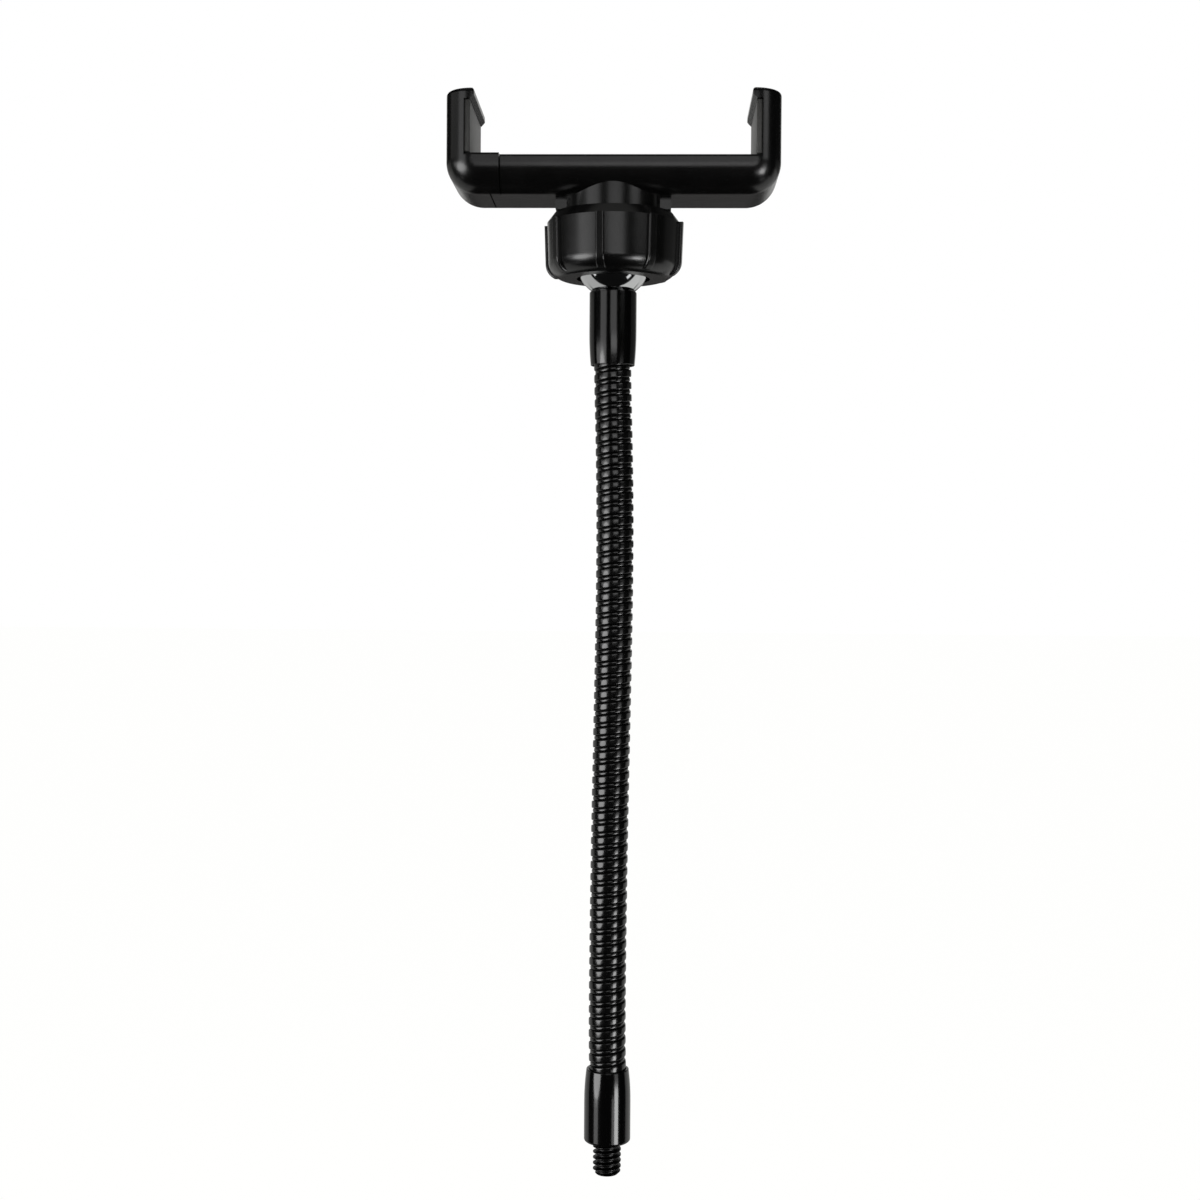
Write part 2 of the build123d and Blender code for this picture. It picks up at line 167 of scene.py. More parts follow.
thread_rows = round(-stud_low.z / THREAD_PITCH * STUD_ROWS_PER_TURN)
thread_heights = [stud_low.z * (1 - row / thread_rows) for row in range(thread_rows + 1)]
stud_angles = [math.tau * column / STUD_COLUMNS for column in range(STUD_COLUMNS)]
stud_rows = [[(thread_radius(angle, z), angle, z) for angle in stud_angles] for z in thread_heights]
for shank_z in (0.0, stud_high.z):
    stud_rows.append([(stud_r - STUD_SHANK_INSET, angle, shank_z) for angle in stud_angles])
stud_points = [(r * math.cos(angle), r * math.sin(angle), z) for row in stud_rows for r, angle, z in row]
stud_faces = ring_faces(len(stud_rows), STUD_COLUMNS)
stud_faces.append(range(STUD_COLUMNS))
stud_faces.append(range(len(stud_points) - STUD_COLUMNS, len(stud_points)))
stud = new_piece(
    "threaded_stud", stud_points, stud_faces, black_oxide_steel(), "blackened_steel", STUD_SHARP_ANGLE
)
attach(stud, "base")
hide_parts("stud")


# Ferrules: the turned sleeves at both ends of the neck, crimped over its last turns.
# Steel, turned, then stove-enamelled in gloss black.
# The lower one holds the stud and the upper one the ball's shank.
ENAMEL_BLACK = "#030303"
ENAMEL_WAVE = 1.6 * MM
ENAMEL_WAVE_DETAIL = 1.0
ENAMEL_WAVE_HEIGHT = 0.004 * MM
# Dust in the paint is finer than this, and is drawn this coarse to show.
ENAMEL_DUST = 0.25 * MM
ENAMEL_DUST_DETAIL = 2.0
ENAMEL_SMOOTHEST = 0.08
ENAMEL_ROUGHEST = 0.18


def gloss_black_enamel():
    """Stove enamel: near-black with sharp reflections, bent a little by the flow of the paint."""
    material, tree, shader = new_material("gloss_black_enamel", Base_Color=linear(ENAMEL_BLACK))
    place = add_node(tree, "ShaderNodeTexCoord")
    flow = add_node(
        tree,
        "ShaderNodeTexNoise",
        {"Vector": place.outputs["Object"], "Scale": 1 / ENAMEL_WAVE, "Detail": ENAMEL_WAVE_DETAIL},
    )
    dust = add_node(
        tree,
        "ShaderNodeTexNoise",
        {"Vector": place.outputs["Object"], "Scale": 1 / ENAMEL_DUST, "Detail": ENAMEL_DUST_DETAIL},
    )
    haze = add_node(
        tree,
        "ShaderNodeMapRange",
        {"Value": dust.outputs["Fac"], "To Min": ENAMEL_SMOOTHEST, "To Max": ENAMEL_ROUGHEST},
    )
    bump = add_node(
        tree,
        "ShaderNodeBump",
        {"Height": flow.outputs["Fac"], "Distance": ENAMEL_WAVE_HEIGHT, "Strength": 1.0},
    )
    tree.links.new(haze.outputs["Result"], shader.inputs["Roughness"])
    tree.links.new(bump.outputs["Normal"], shader.inputs["Normal"])
    return material


def finish_node(name, material):
    """Gives a solid of the frame its finish."""
    frame["nodes"][name].material_slots[0].material = material


enamel = gloss_black_enamel()
finish_node("lower_ferrule", enamel)
finish_node("upper_ferrule", enamel)


# Neck: round steel wire wound as a spring, with a wedge-shaped wire wound tight between its turns.
# The friction between the two wires holds any bend, and the whole neck is painted black after winding.
# Each piece spans one bend, and its ends run on in the next piece or in a ferrule.
NECK_COLUMNS = 80
NECK_SHARP_ANGLE = 50.0
TURN_PITCH = 2.738 * MM
# Half of each wire's outline in millimetres: way up from the round wire's crest, and depth below it.
WIRE_SECTION = (
    (0.0, 0.0),
    (0.3, 0.004),
    (0.5, 0.011),
    (0.61, 0.022),
    (0.68, 0.045),
    (0.74, 0.085),
    (0.785, 0.14),
    (0.815, 0.22),
)
GROOVE_BOTTOM = (0.87, 0.55)
WEDGE_SECTION = ((0.935, 0.42), (0.97, 0.385), (1.05, 0.34), (1.15, 0.308), (1.26, 0.291), (1.369, 0.286))
NECK_IN_FERRULE = 3.0 * MM
# Share of a turn by which the winding stands above the lower ferrule's mouth, on the +X side.
WINDING_START = 0.4
NECK_BOW = 1.0 * MM
NECK_LEAN = 0.2 * MM
# Powers: a higher skew puts the bow nearer the top, and a higher spread evens out the lean.
BOW_SKEW = 2.2
LEAN_SPREAD = 12
WIRE_BLACK = "#050505"
WIRE_BLACK_SHARE = 0.45
WIRE_WORN = "#0b0b0a"
WIRE_SCUFF = 0.7 * MM
WIRE_SCUFF_DETAIL = 2.0
WIRE_SCUFF_HEIGHT = 0.0015 * MM
WIRE_SMOOTHEST = 0.13
WIRE_ROUGHEST = 0.22


def satin_black_wire_paint():
    """Paint on wound wire: black, less glossy than the sleeves, with fine drawing marks under it."""
    material, tree, shader = new_material("satin_black_wire_paint")
    place = add_node(tree, "ShaderNodeTexCoord")
    scuff = add_node(
        tree,
        "ShaderNodeTexNoise",
        {"Vector": place.outputs["Object"], "Scale": 1 / WIRE_SCUFF, "Detail": WIRE_SCUFF_DETAIL},
    )
    tint = add_node(tree, "ShaderNodeValToRGB", {"Fac": scuff.outputs["Fac"]})
    tint.color_ramp.elements[0].color = linear(WIRE_BLACK)
    tint.color_ramp.elements[0].position = WIRE_BLACK_SHARE
    tint.color_ramp.elements[1].color = linear(WIRE_WORN)
    gloss = add_node(
        tree,
        "ShaderNodeMapRange",
        {"Value": scuff.outputs["Fac"], "To Min": WIRE_SMOOTHEST, "To Max": WIRE_ROUGHEST},
    )
    bump = add_node(
        tree,
        "ShaderNodeBump",
        {"Height": scuff.outputs["Fac"], "Distance": WIRE_SCUFF_HEIGHT, "Strength": 1.0},
    )
    tree.links.new(tint.outputs["Color"], shader.inputs["Base Color"])
    tree.links.new(gloss.outputs["Result"], shader.inputs["Roughness"])
    tree.links.new(bump.outputs["Normal"], shader.inputs["Normal"])
    return material


def winding_rows(first_turn, last_turn):
    """Height and depth below the crest of each row of points, from one turn's groove to another's.

    A turn starts in the groove below its wire, crosses the wire and the groove above it, then the wedge.
    """
    rising = [(across * MM, drop * MM) for across, drop in (*WIRE_SECTION, GROOVE_BOTTOM, *WEDGE_SECTION)]
    groove = len(WIRE_SECTION)
    below_crest = [(-across, drop) for across, drop in reversed(rising[1 : groove + 1])]
    above_wedge = [(TURN_PITCH - across, drop) for across, drop in reversed(rising[groove + 1 : -1])]
    turn = below_crest + rising + above_wedge
    rows = [(index * TURN_PITCH + z, drop) for index in range(first_turn, last_turn) for z, drop in turn]
    groove_z, groove_drop = turn[0]
    return rows + [(last_turn * TURN_PITCH + groove_z, groove_drop)]


neck_crest_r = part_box("neck_segment_2")[1].x
neck_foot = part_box("lower_ferrule")[1].z
neck_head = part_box("upper_ferrule")[0].z


def neck_bow(z):
    """Sideways bow left in a neck that was bent and set straight again by hand."""
    share = min(max((z - neck_foot) / (neck_head - neck_foot), 0.0), 1.0)
    lean = NECK_LEAN * (1 - (2 * share - 1) ** LEAN_SPREAD)
    return NECK_BOW * math.sin(math.pi * share**BOW_SKEW) - lean


def wound_length(first_turn, last_turn):
    """Points and faces of some turns of both wires, as one skin round the bowed neck."""
    rows = winding_rows(first_turn, last_turn)
    points = []
    for height, drop in rows:
        radius = neck_crest_r - drop
        for column in range(NECK_COLUMNS + 1):
            turn = column / NECK_COLUMNS
            z = neck_foot + height + (turn + WINDING_START) * TURN_PITCH
            angle = math.tau * turn
            points.append((neck_bow(z) + radius * math.cos(angle), radius * math.sin(angle), z))
    return points, ring_faces(len(rows), NECK_COLUMNS + 1, wrap=False)


neck_joints = [joint for joint in frame["joints"] if joint["name"].startswith("neck_bend")]
hinge_heights = [joint["pos_m"][2] for joint in neck_joints]
cut_heights = [neck_foot - NECK_IN_FERRULE]
cut_heights += [(low + high) / 2 for low, high in zip(hinge_heights, hinge_heights[1:])]
cut_heights.append(neck_head + NECK_IN_FERRULE)
cut_turns = [round((z - neck_foot) / TURN_PITCH) for z in cut_heights]
wire_paint = satin_black_wire_paint()
for index, joint in enumerate(neck_joints):
    length = new_piece(
        f"wound_neck_{index + 1}",
        *wound_length(cut_turns[index], cut_turns[index + 1]),
        wire_paint,
        "black_painted_steel",
        NECK_SHARP_ANGLE,
    )
    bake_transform(length)
    covered = [f"neck_segment_{index + 1}"]
    if index == len(neck_joints) - 1:
        covered.append(f"neck_segment_{index + 2}")
    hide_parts(*covered)


# Ball: the joint's ball with its shank, pressed into the upper ferrule.
# Steel, turned and polished, then chrome plated.
# It shows below the ring nut, between the nut and the ferrule.
CHROME = "#d4d5d6"
CHROME_WIPE = 1.2 * MM
CHROME_WIPE_DETAIL = 3.0
CHROME_SMOOTHEST = 0.05
CHROME_ROUGHEST = 0.12


def polished_chrome():
    """Chrome plate: a bright mirror with a faint haze of wiping marks."""
    material, tree, shader = new_material("polished_chrome", Base_Color=linear(CHROME), Metallic=1.0)
    place = add_node(tree, "ShaderNodeTexCoord")
    wipe = add_node(
        tree,
        "ShaderNodeTexNoise",
        {"Vector": place.outputs["Object"], "Scale": 1 / CHROME_WIPE, "Detail": CHROME_WIPE_DETAIL},
    )
    haze = add_node(
        tree,
        "ShaderNodeMapRange",
        {"Value": wipe.outputs["Fac"], "To Min": CHROME_SMOOTHEST, "To Max": CHROME_ROUGHEST},
    )
    tree.links.new(haze.outputs["Result"], shader.inputs["Roughness"])
    return material


finish_node("ball_stud", polished_chrome())


# Ring nut: the ribbed nut that closes the slotted collet on the ball.
# Black ABS, injection moulded, with eight ribs for the fingers.
# It turns on the collet's thread under the clamp.
ABS_BLACK = "#030303"
ABS_GREY = "#060606"
ABS_CLOUD = 6.0 * MM
ABS_CLOUD_DETAIL = 2.0
ABS_SMOOTHEST = 0.2
ABS_ROUGHEST = 0.27
# The grain of a spark-eroded mould is finer than this, and is drawn this coarse to show.
MOULD_GRAIN = 0.22 * MM
MOULD_GRAIN_DETAIL = 2.0
MOULD_GRAIN_HEIGHT = 0.006 * MM


def satin_black_abs():
    """Moulded ABS: satin black, with the fine spark grain of the mould and a faint cloudiness."""
    material, tree, shader = new_material("satin_black_abs")
    place = add_node(tree, "ShaderNodeTexCoord")
    cloud = add_node(
        tree,
        "ShaderNodeTexNoise",
        {"Vector": place.outputs["Object"], "Scale": 1 / ABS_CLOUD, "Detail": ABS_CLOUD_DETAIL},
    )
    grain = add_node(
        tree,
        "ShaderNodeTexNoise",
        {"Vector": place.outputs["Object"], "Scale": 1 / MOULD_GRAIN, "Detail": MOULD_GRAIN_DETAIL},
    )
    tint = add_node(tree, "ShaderNodeValToRGB", {"Fac": cloud.outputs["Fac"]})
    tint.color_ramp.elements[0].color = linear(ABS_BLACK)
    tint.color_ramp.elements[1].color = linear(ABS_GREY)
    gloss = add_node(
        tree,
        "ShaderNodeMapRange",
        {"Value": cloud.outputs["Fac"], "To Min": ABS_SMOOTHEST, "To Max": ABS_ROUGHEST},
    )
    bump = add_node(
        tree,
        "ShaderNodeBump",
        {"Height": grain.outputs["Fac"], "Distance": MOULD_GRAIN_HEIGHT, "Strength": 1.0},
    )
    tree.links.new(tint.outputs["Color"], shader.inputs["Base Color"])
    tree.links.new(gloss.outputs["Result"], shader.inputs["Roughness"])
    tree.links.new(bump.outputs["Normal"], shader.inputs["Normal"])
    return material


abs_plastic = satin_black_abs()
finish_node("ring_nut", abs_plastic)


# Clamp: the bar with its fixed arm and collet, and the jaw that slides out of the bar's end.
# The same moulded black ABS as the nut, in two mouldings with a lapped seam between them.
# The jaw's tongue runs in the hollow bar and is held by the stop screw.
BODY_LAP = 2.4 * MM
# Distances from the seam's middle where the shine begins after the painted seam shade, and where it is
# full.
SEAM_CORE = 0.1 * MM
SEAM_FADE = 0.28 * MM
# What lies no higher than this above the jaw's lowest point is the bar's underside.
UNDERSIDE = 0.1 * MM
PLASTIC_SPECULAR = 0.5
lap_end_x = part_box("clamp_body")[0].x
bar_under_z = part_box("sliding_jaw")[0].z + UNDERSIDE


def paint_seam_shade(material):
    """Paints the seam's shade: takes the shine off along the seam, where the dark gap is too thin to show
    by itself.

    On the bar's underside it lies where the bar's lap ends, and on the sides a lap's length further in.
    """
    tree = material.node_tree
    place = add_node(tree, "ShaderNodeTexCoord")
    axes = add_node(tree, "ShaderNodeSeparateXYZ", {"Vector": place.outputs["Object"]})
    on_sides = add_node(
        tree, "ShaderNodeMath", {0: axes.outputs["Z"], 1: bar_under_z}, operation="GREATER_THAN"
    )
    seam_x = add_node(
        tree,
        "ShaderNodeMath",
        {0: on_sides.outputs[0], 1: BODY_LAP, 2: lap_end_x},
        operation="MULTIPLY_ADD",
    )
    off_seam = add_node(
        tree, "ShaderNodeMath", {0: axes.outputs["X"], 1: seam_x.outputs[0]}, operation="SUBTRACT"
    )
    from_seam = add_node(tree, "ShaderNodeMath", {0: off_seam.outputs[0]}, operation="ABSOLUTE")
    shine = add_node(
        tree,
        "ShaderNodeMapRange",
        {
            "Value": from_seam.outputs[0],
            "From Min": SEAM_CORE,
            "From Max": SEAM_FADE,
            "To Max": PLASTIC_SPECULAR,
        },
    )
    shader = tree.nodes["Principled BSDF"]
    tree.links.new(shine.outputs["Result"], shader.inputs["Specular IOR Level"])


# Painted shade along the seam between the jaw and the bar.
paint_seam_shade(abs_plastic)
finish_node("clamp_body", abs_plastic)
finish_node("sliding_jaw", abs_plastic)


# Pads: rubber strips on both arms and along the top of the bar, where the phone touches.
# Moulded black rubber with rounded edges, glued in.
# The two on the arms sit under the lips, and the one on the bar lies in a shallow recess.
PAD_EDGE = 0.3 * MM
PAD_EDGE_STEPS = 3
PAD_SHARP_ANGLE = 40.0
ROUND_PROFILE = 0.5
ALL_SMOOTH = 180.0
RUBBER_BLACK = "#1f1f1e"
RUBBER_BLOOM = "#343432"
RUBBER_ROUGHNESS = 0.42
RUBBER_BLOOM_SIZE = 2.5 * MM
RUBBER_BLOOM_DETAIL = 3.0
RUBBER_GRAIN = 0.3 * MM
RUBBER_GRAIN_HEIGHT = 0.03 * MM
BOX_FACES = [(0, 1, 3, 2), (4, 6, 7, 5), (0, 4, 5, 1), (2, 3, 7, 6), (0, 2, 6, 4), (1, 5, 7, 3)]


def matt_black_rubber():
    """Moulded rubber: matt, with a greyish bloom and a fine pebble."""
    material, tree, shader = new_material("matt_black_rubber", Roughness=RUBBER_ROUGHNESS)
    place = add_node(tree, "ShaderNodeTexCoord")
    bloom = add_node(
        tree,
        "ShaderNodeTexNoise",
        {"Vector": place.outputs["Object"], "Scale": 1 / RUBBER_BLOOM_SIZE, "Detail": RUBBER_BLOOM_DETAIL},
    )
    pebble = add_node(
        tree, "ShaderNodeTexVoronoi", {"Vector": place.outputs["Object"], "Scale": 1 / RUBBER_GRAIN}
    )
    tint = add_node(tree, "ShaderNodeValToRGB", {"Fac": bloom.outputs["Fac"]})
    tint.color_ramp.elements[0].color = linear(RUBBER_BLACK)
    tint.color_ramp.elements[1].color = linear(RUBBER_BLOOM)
    bump = add_node(
        tree,
        "ShaderNodeBump",
        {"Height": pebble.outputs["Distance"], "Distance": RUBBER_GRAIN_HEIGHT, "Strength": 1.0},
        invert=True,
    )
    tree.links.new(tint.outputs["Color"], shader.inputs["Base Color"])
    tree.links.new(bump.outputs["Normal"], shader.inputs["Normal"])
    return material


rubber = matt_black_rubber()


def rubber_pad(name, node, body):
    """Rubber strip with rounded edges, where a plain solid of the frame lies."""
    low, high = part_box(node)
    points = [(x, y, z) for x in (low.x, high.x) for y in (low.y, high.y) for z in (low.z, high.z)]
    pad = new_piece(name, points, BOX_FACES, rubber, "black_rubber", ALL_SMOOTH)
    shape = bmesh.new()
    shape.from_mesh(pad.data)
    bmesh.ops.bevel(
        shape,
        geom=shape.edges[:],
        offset=PAD_EDGE,
        segments=PAD_EDGE_STEPS,
        profile=ROUND_PROFILE,
        affect="EDGES",
        harden_normals=False,
    )
    shape.to_mesh(pad.data)
    shape.free()
    pad.data.shade_smooth()
    pad.data.set_sharp_from_angle(angle=math.radians(PAD_SHARP_ANGLE))
    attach(pad, body)
    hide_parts(node)


rubber_pad("left_rubber_pad", "left_jaw_pad", "jaw")
rubber_pad("right_rubber_pad", "right_jaw_pad", "head")
rubber_pad("rest_rubber_pad", "rest_pad", "head")


# Springs, their pins and the stop screw: two springs pull the jaw in, each hooked on a pin at both ends.
# Bright zinc-plated steel; the springs are close wound from thin wire.
# They lie in slots in the tongue and show only when the jaw is pulled out.
SPRING_WIRE_R = 0.29 * MM
SPRING_TURN_PITCH = 0.62 * MM
SPRING_COLUMNS = 8
SPRING_STEPS_PER_TURN = 18
ZINC = "#a9abad"
ZINC_DULL = "#7d7f80"
ZINC_ROUGHNESS = 0.28
ZINC_SPANGLE = 0.8 * MM
ZINC_SPANGLE_DETAIL = 2.0


def bright_zinc_steel():
    """Zinc plate on steel: bright grey metal, a little uneven."""
    material, tree, shader = new_material("bright_zinc_steel", Metallic=1.0, Roughness=ZINC_ROUGHNESS)
    place = add_node(tree, "ShaderNodeTexCoord")
    spangle = add_node(
        tree,
        "ShaderNodeTexNoise",
        {"Vector": place.outputs["Object"], "Scale": 1 / ZINC_SPANGLE, "Detail": ZINC_SPANGLE_DETAIL},
    )
    tint = add_node(tree, "ShaderNodeValToRGB", {"Fac": spangle.outputs["Fac"]})
    tint.color_ramp.elements[0].color = linear(ZINC_DULL)
    tint.color_ramp.elements[1].color = linear(ZINC)
    tree.links.new(tint.outputs["Color"], shader.inputs["Base Color"])
    return material


zinc_steel = bright_zinc_steel()
for fastener in ("stop_screw", "body_spring_pin", "jaw_spring_pin"):
    finish_node(fastener, zinc_steel)


def wire_tube(path, radius, sides):
    """Points and faces of round wire along a path of points."""
    points = []
    side_axis = Vector((0, 1, 0))
    for here, point in enumerate(path):
        along = (path[min(here + 1, len(path) - 1)] - path[max(here - 1, 0)]).normalized()
        side_axis = (side_axis - along * side_axis.dot(along)).normalized()
        across = along.cross(side_axis)
        for side in range(sides):
            angle = math.tau * side / sides
            points.append(point + radius * (math.cos(angle) * side_axis + math.sin(angle) * across))
    faces = ring_faces(len(path), sides)
    faces.append(range(sides))
    faces.append(range(len(points) - sides, len(points)))
    return points, faces


def hooked_spring(name, node):
    """Close-wound coil with a half-round hook on each end, stretched between the bar and the jaw."""
    low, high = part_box(node)
    middle = (low + high) / 2
    coil_r = (high.z - low.z) / 2 - SPRING_WIRE_R
    hook_reach = 2 * coil_r
    coil_left, coil_right = low.x + hook_reach, high.x - hook_reach
    left_hook = []
    for step in range(SPRING_STEPS_PER_TURN, SPRING_STEPS_PER_TURN // 2 - 1, -1):
        angle = math.tau * step / SPRING_STEPS_PER_TURN
        x = low.x + SPRING_WIRE_R + coil_r * (1 - math.cos(angle))
        left_hook.append(Vector((x, middle.y, middle.z + coil_r * math.sin(angle))))
    right_hook = [Vector((low.x + high.x - point.x, point.y, point.z)) for point in reversed(left_hook)]
    steps = round((coil_right - coil_left) / SPRING_TURN_PITCH) * SPRING_STEPS_PER_TURN
    coil = []
    for step in range(steps + 1):
        angle = math.tau * step / SPRING_STEPS_PER_TURN
        x = coil_left + (coil_right - coil_left) * step / steps
        coil.append(Vector((x, middle.y + coil_r * math.sin(angle), middle.z + coil_r * math.cos(angle))))
    points, faces = wire_tube(left_hook + coil + right_hook, SPRING_WIRE_R, SPRING_COLUMNS)
    spring = new_piece(name, points, faces, zinc_steel, "spring_steel", ALL_SMOOTH)
    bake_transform(spring)
    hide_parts(node)


hooked_spring("front_coil_spring", "front_spring")
hooked_spring("rear_coil_spring", "rear_spring")


# Studio: a pale floor far below and a white sweep behind; dark cloth and grey cards that glow with their
# own tone, in place of lit ones, show only in the gloss.
# Soft lamps on an arc before the holder give the long bands on the black sleeves.
# The camera stands where the photograph was taken from, a little above the holder's middle.
AIM_POINT = Vector((-0.00247, 0.0, 0.12265))
SQUARE_FACE = [(0, 1, 3, 2)]
FLOOR_Z = -0.5
FLOOR_SIZE = 30.0
FLOOR_WHITE = "#fdfdfc"
FLOOR_GLOW = 0.9
FLOOR_LEVEL = 1.07
CLOTH_R = 1.6
CLOTH_LIFT = 0.01
CLOTH_SEGMENTS = 48
CLOTH_RINGS = 24
CLOTH_GREY = "#101010"
CARD_R = 1.4
CARD_STEPS = 24
# Each card's name, first and last azimuth, lowest and highest elevation in degrees, and colour.
BENT_CARDS = (
    ("left_side_card", -163, -105, -32, 0, "#c0c0be"),
    ("left_rear_card", -163, -105, 0, 12, "#989896"),
    ("left_high_card", -106, -66, 15, 24, "#b0b0ae"),
    ("right_side_card", 105, 163, -32, -1, "#cececc"),
    ("right_high_card", 100, 150, -2, 14, "#5e5e5d"),
    ("low_back_card", 163, 197, -50, -6.8, "#767574"),
    ("high_back_card", 150, 210, 4, 36, "#d8d8d6"),
)
TOP_CARD_HALF = 0.6
TOP_CARD_RISE = 1.2
TOP_CARD_GREY = "#90908e"
# Corners of two cards on the floor, four each.
GLINT_CORNERS = (
    (-0.94, -0.26), (-0.74, -0.23), (-0.74, -0.11), (-0.94, -0.12),
    (0.5, -0.23), (0.78, -0.29), (0.78, -0.13), (0.5, -0.1),
)
GLINT_FACES = [range(4), range(4, 8)]
GLINT_WHITE = "#ffffff"
SHEET_OUTLINE = ((0.15, 0.07), (1.3, 0.07), (1.3, 1.0), (0.5, 1.0))
# Each sheet's name, side and colour.
FLOOR_SHEETS = (("left_floor_sheet", -1, "#bebebc"), ("right_floor_sheet", 1, "#d6d6d4"))
WORLD_WHITE = "#ffffff"
FILL_LEVEL = 0.5
SWEEP_LEVEL = 1.0
LAMP_R = 1.1
# Each lamp's name, azimuth in degrees, rise, width and height in metres, brightness, and any round shape.
LAMPS = (
    ("left_soft_box", -55, -0.16, 0.8, 0.46, 6.6, "ELLIPSE"),
    ("left_top_fill", -59, 0.05, 1.15, 0.16, 2.0),
    ("left_upper_fill", -46, 0.32, 0.62, 0.38, 1.35),
    ("left_low_fill", -57, -0.46, 0.42, 0.26, 1.9),
    ("front_soft_box", 7, 0.105, 0.55, 0.12, 2.6),
    ("front_upper_fill", 4, 0.29, 0.6, 0.23, 1.3),
    ("right_upper_fill", 49, 0.435, 0.42, 0.33, 1.6),
    ("right_mid_fill", 49, -0.13, 0.36, 0.27, 1.2),
    ("right_low_strip", 47, -0.44, 0.37, 0.34, 10.5),
    ("right_low_fill", 30, -0.49, 0.22, 0.24, 2.0),
)
PHOTO_PIXELS = 1200
PIXELS_PER_MM = 4.436
SENSOR_WIDTH = 36.0
CAMERA_DISTANCE = 0.396
CAMERA_RISE = 0.0091
CAMERA_SWING = 1.8
CAMERA_ROLL = 0.41


def plain_stage_mesh(name, points, faces, material):
    """Mesh that belongs to the studio, not to the holder."""
    mesh = bpy.data.meshes.new(name)
    mesh.from_pydata(points, [], faces)
    mesh.materials.append(material)
    stage_piece = bpy.data.objects.new(name, mesh)
    bpy.context.scene.collection.objects.link(stage_piece)
    return stage_piece


def level_square(half, z):
    """Corners of a level square round the holder's axis."""
    return [(x, y, z) for y in (-half, half) for x in (-half, half)]


def white_for_looks(tree, plain_shader, white_shader):
    """White where the camera, a mirror or glass looks at it, and plain for all other light."""
    ray = add_node(tree, "ShaderNodeLightPath")
    seen = add_node(
        tree,
        "ShaderNodeMath",
        {0: ray.outputs["Is Camera Ray"], 1: ray.outputs["Is Glossy Ray"]},
        operation="MAXIMUM",
    )
    seen = add_node(
        tree,
        "ShaderNodeMath",
        {0: seen.outputs[0], 1: ray.outputs["Is Transmission Ray"]},
        operation="MAXIMUM",
    )
    return add_node(
        tree,
        "ShaderNodeMixShader",
        {0: seen.outputs[0], 1: plain_shader.outputs[0], 2: white_shader.outputs[0]},
    )


def pale_floor():
    """Painted board: white, lit almost evenly, with the soft shadow that falls on it."""
    material = bpy.data.materials.new("pale_floor_board")
    material.use_nodes = True
    tree = material.node_tree
    tree.nodes.clear()
    board = add_node(tree, "ShaderNodeBsdfDiffuse", {"Color": linear(FLOOR_WHITE)})
    glow = add_node(tree, "ShaderNodeEmission", {"Color": linear(FLOOR_WHITE), "Strength": FLOOR_LEVEL})
    lit = add_node(tree, "ShaderNodeMixShader", {0: FLOOR_GLOW, 1: board.outputs[0], 2: glow.outputs[0]})
    mixed = white_for_looks(tree, board, lit)
    add_node(tree, "ShaderNodeOutputMaterial", {"Surface": mixed.outputs[0]})
    return material


def only_in_gloss(stage_piece):
    """Shows in reflections alone, as cards and cloths round a set do."""
    stage_piece.visible_camera = False
    stage_piece.visible_diffuse = False
    stage_piece.visible_shadow = False


def glowing_stage_paper(name, hex_code):
    """Glow of one plain tone from every side, standing in for matt paper or cloth in even light."""
    material = bpy.data.materials.new(name)
    material.use_nodes = True
    tree = material.node_tree
    tree.nodes.clear()
    glow = add_node(tree, "ShaderNodeEmission", {"Color": linear(hex_code)})
    add_node(tree, "ShaderNodeOutputMaterial", {"Surface": glow.outputs[0]})
    return material


def bent_card(name, first, last, low, high, hex_code):
    """Card bent round the set, between two azimuths and two elevations in degrees."""
    points = []
    for elevation in (low, high):
        for step in range(CARD_STEPS + 1):
            turn = math.radians(first + (last - first) * step / CARD_STEPS)
            rise = CARD_R * math.tan(math.radians(elevation))
            points.append((CARD_R * math.sin(turn), -CARD_R * math.cos(turn), AIM_POINT.z + rise))
    faces = ring_faces(2, CARD_STEPS + 1, wrap=False)
    paper = glowing_stage_paper(name + "_paper", hex_code)
    only_in_gloss(plain_stage_mesh(name, points, faces, paper))


plain_stage_mesh("floor", level_square(FLOOR_SIZE / 2, FLOOR_Z), SQUARE_FACE, pale_floor())

# The cloth, cards, glint cards and floor sheets below glow with their own tone instead of being lit.
cloth = plain_stage_mesh("studio_cloth", [], [], glowing_stage_paper("dark_studio_cloth", CLOTH_GREY))
dome = bmesh.new()
bmesh.ops.create_uvsphere(dome, u_segments=CLOTH_SEGMENTS, v_segments=CLOTH_RINGS, radius=CLOTH_R)
for point in dome.verts:
    point.co.z = max(point.co.z, FLOOR_Z + CLOTH_LIFT)
dome.to_mesh(cloth.data)
dome.free()
only_in_gloss(cloth)

for card in BENT_CARDS:
    bent_card(*card)
top_points = level_square(TOP_CARD_HALF, AIM_POINT.z + TOP_CARD_RISE)
top_paper = glowing_stage_paper("top_card_paper", TOP_CARD_GREY)
only_in_gloss(plain_stage_mesh("top_card", top_points, SQUARE_FACE, top_paper))

sheet_z = FLOOR_Z + 2 * CLOTH_LIFT
glint_points = [(x, y, sheet_z) for x, y in GLINT_CORNERS]
glint_paper = glowing_stage_paper("glint_paper", GLINT_WHITE)
only_in_gloss(plain_stage_mesh("glint_cards", glint_points, GLINT_FACES, glint_paper))
for name, side, hex_code in FLOOR_SHEETS:
    sheet_points = [(x * side, y, sheet_z) for x, y in SHEET_OUTLINE]
    sheet_paper = glowing_stage_paper(name + "_paper", hex_code)
    only_in_gloss(plain_stage_mesh(name, sheet_points, [range(len(SHEET_OUTLINE))], sheet_paper))

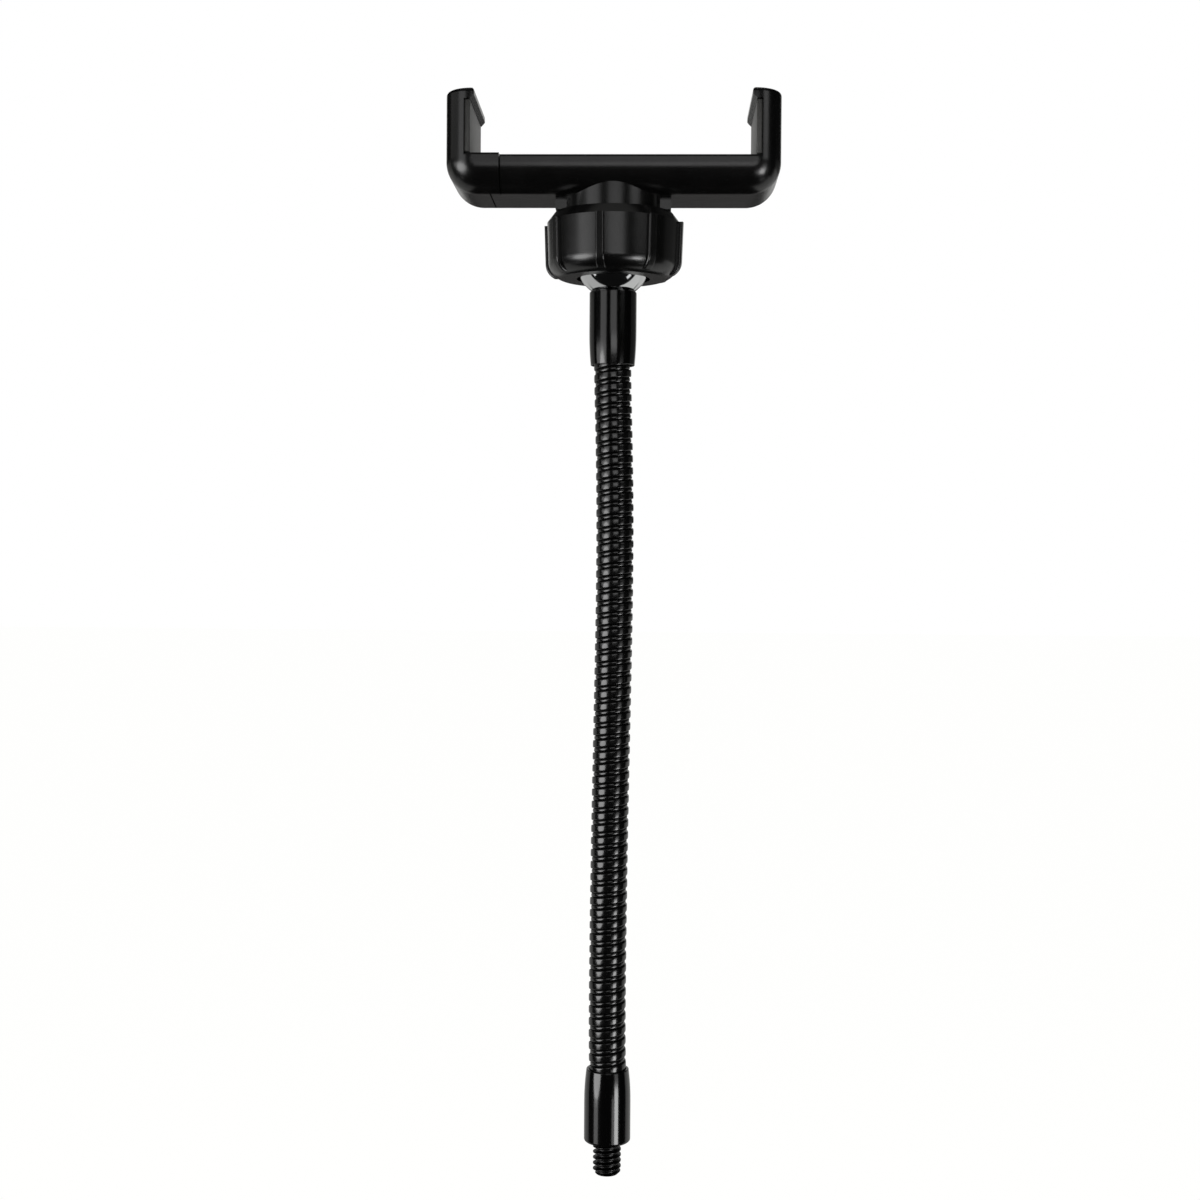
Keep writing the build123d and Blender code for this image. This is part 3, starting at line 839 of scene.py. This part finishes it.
world = bpy.data.worlds.new("studio_white")
bpy.context.scene.world = world
world.use_nodes = True
sky = world.node_tree
sky.nodes.clear()
fill = add_node(sky, "ShaderNodeBackground", {"Color": linear(WORLD_WHITE), "Strength": FILL_LEVEL})
sweep = add_node(sky, "ShaderNodeBackground", {"Color": linear(WORLD_WHITE), "Strength": SWEEP_LEVEL})
world_mix = white_for_looks(sky, fill, sweep)
add_node(sky, "ShaderNodeOutputWorld", {"Surface": world_mix.outputs[0]})


def soft_box(name, azimuth, rise, width, height, brightness, shape="RECTANGLE"):
    """Flat lamp that faces the holder; azimuth is from the camera's side, positive to the right."""
    lamp = bpy.data.lights.new(name, "AREA")
    lamp.shape = shape
    lamp.size = width
    lamp.size_y = height
    area = width * height * (math.pi / 4 if shape == "ELLIPSE" else 1.0)
    lamp.energy = brightness * math.pi * area
    box = bpy.data.objects.new(name, lamp)
    bpy.context.scene.collection.objects.link(box)
    turn = math.radians(azimuth)
    toward = Vector((LAMP_R * math.sin(turn), -LAMP_R * math.cos(turn), rise))
    box.location = AIM_POINT + toward
    box.rotation_euler = (-toward).to_track_quat("-Z", "Y").to_euler()
    box.visible_camera = False


for lamp_row in LAMPS:
    soft_box(*lamp_row)

camera = bpy.data.cameras.new("camera")
camera.sensor_width = SENSOR_WIDTH
camera.lens = SENSOR_WIDTH * CAMERA_DISTANCE / MM * PIXELS_PER_MM / PHOTO_PIXELS
viewpoint = bpy.data.objects.new("camera", camera)
bpy.context.scene.collection.objects.link(viewpoint)
swing = math.radians(CAMERA_SWING)
viewpoint.location = AIM_POINT + Vector(
    (CAMERA_DISTANCE * math.sin(swing), -CAMERA_DISTANCE * math.cos(swing), CAMERA_RISE)
)
aim = (AIM_POINT - viewpoint.location).to_track_quat("-Z", "Y").to_matrix()
viewpoint.rotation_euler = (aim @ Matrix.Rotation(math.radians(CAMERA_ROLL), 3, "Z")).to_euler()
bpy.context.scene.camera = viewpoint
bpy.context.scene.view_settings.view_transform = "Standard"
